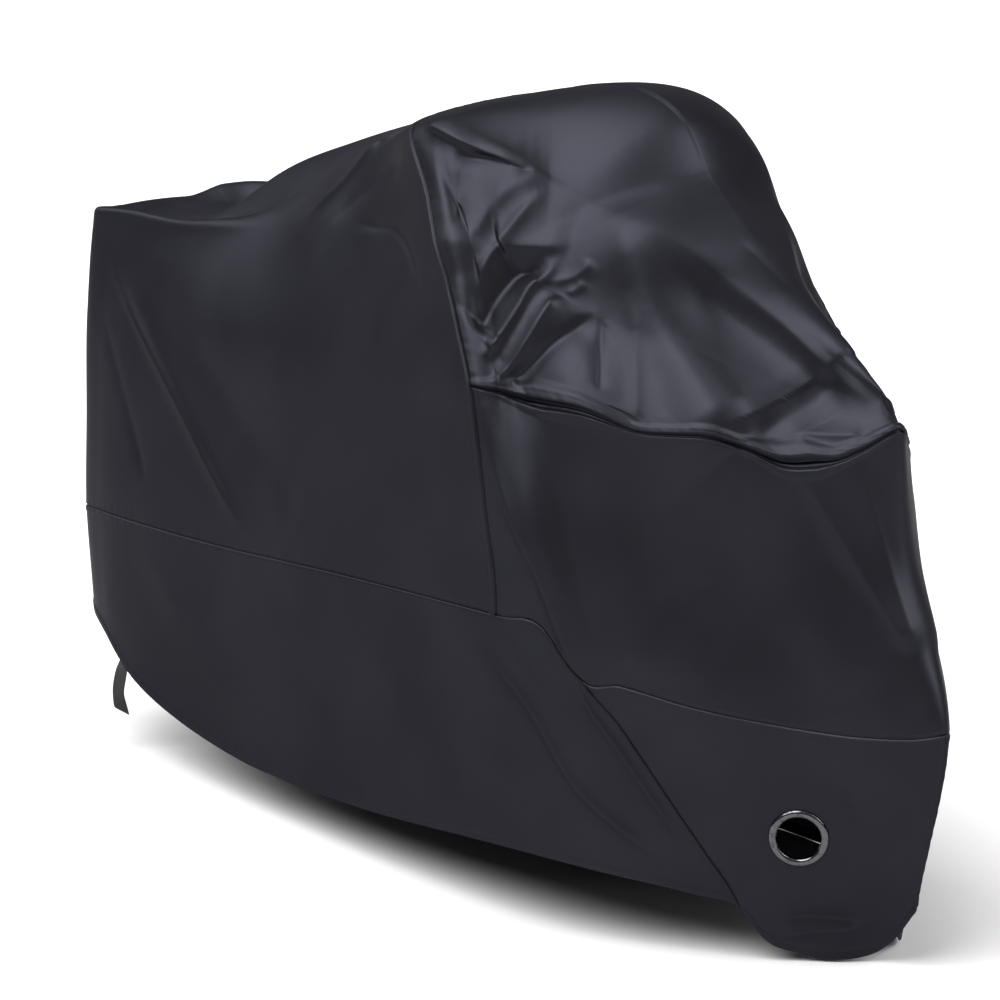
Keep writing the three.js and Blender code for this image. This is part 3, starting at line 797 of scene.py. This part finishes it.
# The rear skirt is the long lower band around the tail, of the same cloth, sewn over the panels
# above it. Its end seam slants down and forwards to the notch in the hem, and the hem is turned
# in twice over a drawcord and stitched.
def lean_back(station, level):
    seam = WHEEL_SEAM_HEM + (WHEEL_SEAM_TOP - WHEEL_SEAM_HEM) * level
    return station / WHEEL_SEAM_TOP * seam, level


rear_skirt = cloth_panel(
    "rear_skirt_cloth", "rear_skirt",
    spread(0, WHEEL_SEAM_TOP, 400, 0, 0.6), spread(HEM, LOWER_SEAM, 95, 0.7, 0.6),
    {"last": (LEDGE, 5, steady), "top": (LEDGE, 5, steady), "bottom": (HEMMED, 14, steady)},
    joined=(TAIL_LINE,), place=lean_back,
)


# The wheel covers are the two lower pieces at the front, one on each side, sewn to the skirt along
# the slanting seam and to each other at the nose. Each has a round hole for its eyelet.
def lean_front(station, level):
    seam = WHEEL_SEAM_HEM + (WHEEL_SEAM_TOP - WHEEL_SEAM_HEM) * level
    share = (station - WHEEL_SEAM_TOP) / (1 - WHEEL_SEAM_TOP)
    return seam + (1 - seam) * share, level


CLOTH_UNDER_FLANGE = 0.003


def clear_of_eyelet(side, points):
    return np.linalg.norm(points - eyelets[side][0], axis=-1) > EYELET_BORE + CLOTH_UNDER_FLANGE


for side, word in ((RIGHT, "right"), (LEFT, "left")):
    wheel_cover = cloth_panel(
        f"wheel_cover_{word}_cloth", f"wheel_cover_{word}",
        spread(WHEEL_SEAM_TOP, 1, 150, 0.6, 0.6), spread(HEM, LOWER_SEAM, 110, 0.6, 0.6),
        {
            "first": (TUCKED, 6, steady),
            "last": (LEDGE, 5, steady),
            "top": (LEDGE, 5, steady),
            "bottom": (HEMMED, 14, steady),
        },
        sides=(side,), place=lean_front, kept=clear_of_eyelet,
    )

# The two eyelets are rolled from nickel-plated sheet: a barrel through the cloth, with a round
# flange curled over on each side of it. They are empty, ready for a chain or a cable lock.
CLOTH = 0.002
FLANGE = 0.0046
FLANGE_STEPS, EYELET_SIDES = 18, 144
EYELET_FIT = 0.0004
SCUFFED, POLISHED = (0.05, 0.05, 0.054), (0.09, 0.09, 0.097)
nickel = Finish("nickel_plate", Metallic=1.0, Specular_IOR_Level=0.5)
scuffs = nickel.noise(160.0, 5.0).eased(0.45, 0.75)
nickel.put(nickel.shader.inputs["Base Color"], nickel.mixed(scuffs, POLISHED, SCUFFED))
nickel.put(nickel.shader.inputs["Roughness"], 0.12 + scuffs * 0.2)
nickel.bumped(scuffs, 0.0001, 0.4)


def rounded(centre, reach, start, end, steps):
    """An arc of a section, from one angle in degrees to another, as radius and depth."""
    angles = np.radians(np.linspace(start, end, steps + 1))
    return [(centre[0] + reach[0] * math.cos(a), centre[1] + reach[1] * math.sin(a)) for a in angles]


def turned(name, section, centre, axis):
    """A ring turned about an axis from its closed section."""
    side_way = unit(np.cross(axis, (0.0, 0.0, 1.0)))
    up_way = np.cross(side_way, axis)
    radius, depth = np.array(section).T
    angles = np.linspace(0, 2 * math.pi, EYELET_SIDES, endpoint=False)
    ring = np.cos(angles)[:, None] * side_way + np.sin(angles)[:, None] * up_way
    points = centre + ring[:, None] * radius[:, None] + depth[:, None] * axis
    ids = np.arange(points[..., 0].size).reshape(points.shape[:2])
    after, over = np.roll(ids, -1, 0), np.roll(ids, -1, 1)
    quads = np.stack([ids, over, np.roll(after, -1, 1), after], -1).reshape(-1, 4)
    mesh = bpy.data.meshes.new(name)
    mesh.from_pydata(points.reshape(-1, 3).tolist(), [], quads.tolist())
    mesh.shade_smooth()
    piece = bpy.data.objects.new(name, mesh)
    scene.collection.objects.link(piece)
    return piece


for side, word in ((RIGHT, "right"), (LEFT, "left")):
    centre, axis = eyelets[side]
    slot = CLOTH / 2 + EYELET_FIT
    barrel = EYELET_BORE + EYELET_WALL
    roll = (EYELET_OUTER - EYELET_BORE) / 2
    front = rounded((EYELET_BORE + roll, slot), (roll, FLANGE), 0, 180, FLANGE_STEPS)
    section = front + [(radius, -depth) for radius, depth in front[::-1]]
    section += [(barrel, -slot), (barrel, slot)]
    ring = turned(f"eyelet_{word}_ring", section, centre - axis * CLOTH / 2, axis)
    ring.data.materials.append(nickel.material)
    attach(ring, "root")
    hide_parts(f"eyelet_{word}")

# The strap is black nylon webbing, cut off square with a hot knife. Its root is sewn behind the
# rear hem, and its free end hangs down from there and curls a little.
STRAP_WIDTH, STRAP_LENGTH, STRAP_THICKNESS = 0.030, 0.118, 0.0018
STRAP_STATION, STRAP_ROOT, STRAP_SLANT = 0.212, 0.028, 0.005
STRAP_FIT = 0.0004
STRAP_ROWS, STRAP_COLUMNS, STRAP_EDGE = 90, 15, 0.0003
STRAP_HANG = table("""
    down  ahead  aside  turn
      12     -3     -2    16
      34     -8     -4    20
      55    -11     -5    18
      77     -9     -3    28
      90     -7     -1    36""")
PICK = 0.0016
# Painted shade and light: the webbing is one black yarn, painted darker in the hollows between its
# yarns and lighter on their crests.
SHADE_BETWEEN_YARNS, LIGHT_ON_YARNS = (0.006, 0.006, 0.007), (0.022, 0.022, 0.024)
webbing = Finish("black_webbing", Roughness=0.78, Specular_IOR_Level=0.3)
strap_place = webbing.node("Attribute", {"attribute_name": "weave"}, output="Vector")
strap_split = webbing.node("SeparateXYZ", None, {0: strap_place}).socket.node
across, down = [Field(webbing, output) for output in strap_split.outputs[:2]]
pick_turn = 2 * math.pi / PICK
cords = (across * pick_turn).wave()
picks = ((down + cords * 0.0003) * pick_turn).wave()
yarn = cords * 0.5 + picks * 0.5
# The weave's height paints shade into the hollows and light onto the crests of the yarns.
yarn_shading_colour = webbing.mixed(yarn.eased(-0.8, 0.9), SHADE_BETWEEN_YARNS, LIGHT_ON_YARNS)
webbing.put(webbing.shader.inputs["Base Color"], yarn_shading_colour)
webbing.bumped(yarn, 0.0003)


def behind_hem(station, level, depth):
    """A place so far behind the outer face of the cloth by the hem."""
    step = 2e-3
    here = surface(RIGHT, station, level)
    run = surface(RIGHT, station + step, level) - surface(RIGHT, station - step, level)
    rise = surface(RIGHT, station, level + step) - surface(RIGHT, station, level)
    return here - unit(np.cross(run, rise)) * depth


def strap_edges():
    """The strap's two edges on the face that lies against the cloth, from its root down."""
    hem = surface(RIGHT, STRAP_STATION, HEM)
    step = 0.01
    half = step * STRAP_WIDTH / 2 / np.linalg.norm(surface(RIGHT, STRAP_STATION + step, HEM) - hem)
    height = np.linalg.norm(surface(RIGHT, STRAP_STATION, LOWER_SEAM) - hem)
    rows = []
    for share in (1, 0.67, 0.33, 0):
        level = share * STRAP_ROOT / height
        stations = STRAP_STATION - half, STRAP_STATION + half
        rows.append([behind_hem(station, level, CLOTH + STRAP_FIT) for station in stations])
    middle = (rows[-1][0] + rows[-1][1]) / 2
    width = (rows[-1][1] - rows[-1][0]) * np.array((1, 1, 0))
    width = unit(width) * STRAP_WIDTH / 2
    for down, ahead, aside, turn in zip(*STRAP_HANG.values()):
        c, s = math.cos(math.radians(turn)), math.sin(math.radians(turn))
        out = np.array((c * width[0] - s * width[1], s * width[0] + c * width[1], 0))
        centre = middle + np.array((ahead, aside, -down)) * MM
        rows.append([centre - out, centre + out])
    rows[-1][0][2] += STRAP_SLANT
    rows[-1][1][2] -= STRAP_SLANT
    return np.array(rows)


def through(rows, count):
    """A smooth line through rows of points."""
    slopes = np.gradient(rows, axis=0)
    t = np.linspace(0, len(rows) - 1, count)
    i = np.clip(t.astype(int), 0, len(rows) - 2)
    share = (t - i)[:, None]
    return cubic(share, rows[i], rows[i + 1], slopes[i], slopes[i + 1])


def strap_mesh():
    edges = through(strap_edges(), STRAP_ROWS)
    share = np.linspace(0, 1, STRAP_COLUMNS)[:, None, None]
    front = edges[:, 0] * (1 - share) + edges[:, 1] * share
    front = front.transpose(1, 0, 2)
    along, out = np.gradient(front, axis=0), np.gradient(front, axis=1)
    back = front - unit(np.cross(out, along)) * STRAP_THICKNESS
    rounded_in = unit(out) * STRAP_EDGE
    front[:, 0] += rounded_in[:, 0]
    front[:, -1] -= rounded_in[:, -1]
    rows, columns = front.shape[:2]
    ring = np.concatenate([front, back[:, ::-1]], 1)
    ids = np.arange(rows * 2 * columns).reshape(rows, -1)
    after = np.roll(ids, -1, 1)
    quads = np.stack([ids[:-1], ids[1:], after[1:], after[:-1]], -1).reshape(-1, 4).tolist()
    for row, flip in ((ids[0], 1), (ids[-1], -1)):
        pairs = np.stack([row[:columns], row[columns:][::-1]], 1)
        ends = np.stack([pairs[:-1, 0], pairs[1:, 0], pairs[1:, 1], pairs[:-1, 1]], -1)
        quads += ends[:, ::flip].tolist()
    mesh = bpy.data.meshes.new("tail_strap_webbing")
    mesh.from_pydata(ring.reshape(-1, 3).tolist(), [], quads)
    places = np.zeros(ring.shape)
    width_way = np.linspace(0, STRAP_WIDTH, columns)
    places[..., 0] = np.concatenate([width_way, width_way[::-1]])
    places[..., 1] = np.linspace(0, STRAP_LENGTH, rows)[:, None]
    weave = mesh.attributes.new("weave", "FLOAT_VECTOR", "POINT").data
    weave.foreach_set("vector", places.ravel())
    return mesh


strap = bpy.data.objects.new("tail_strap_webbing", strap_mesh())
scene.collection.objects.link(strap)
strap.data.materials.append(webbing.material)
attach(strap, "root")
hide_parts("tail_strap")
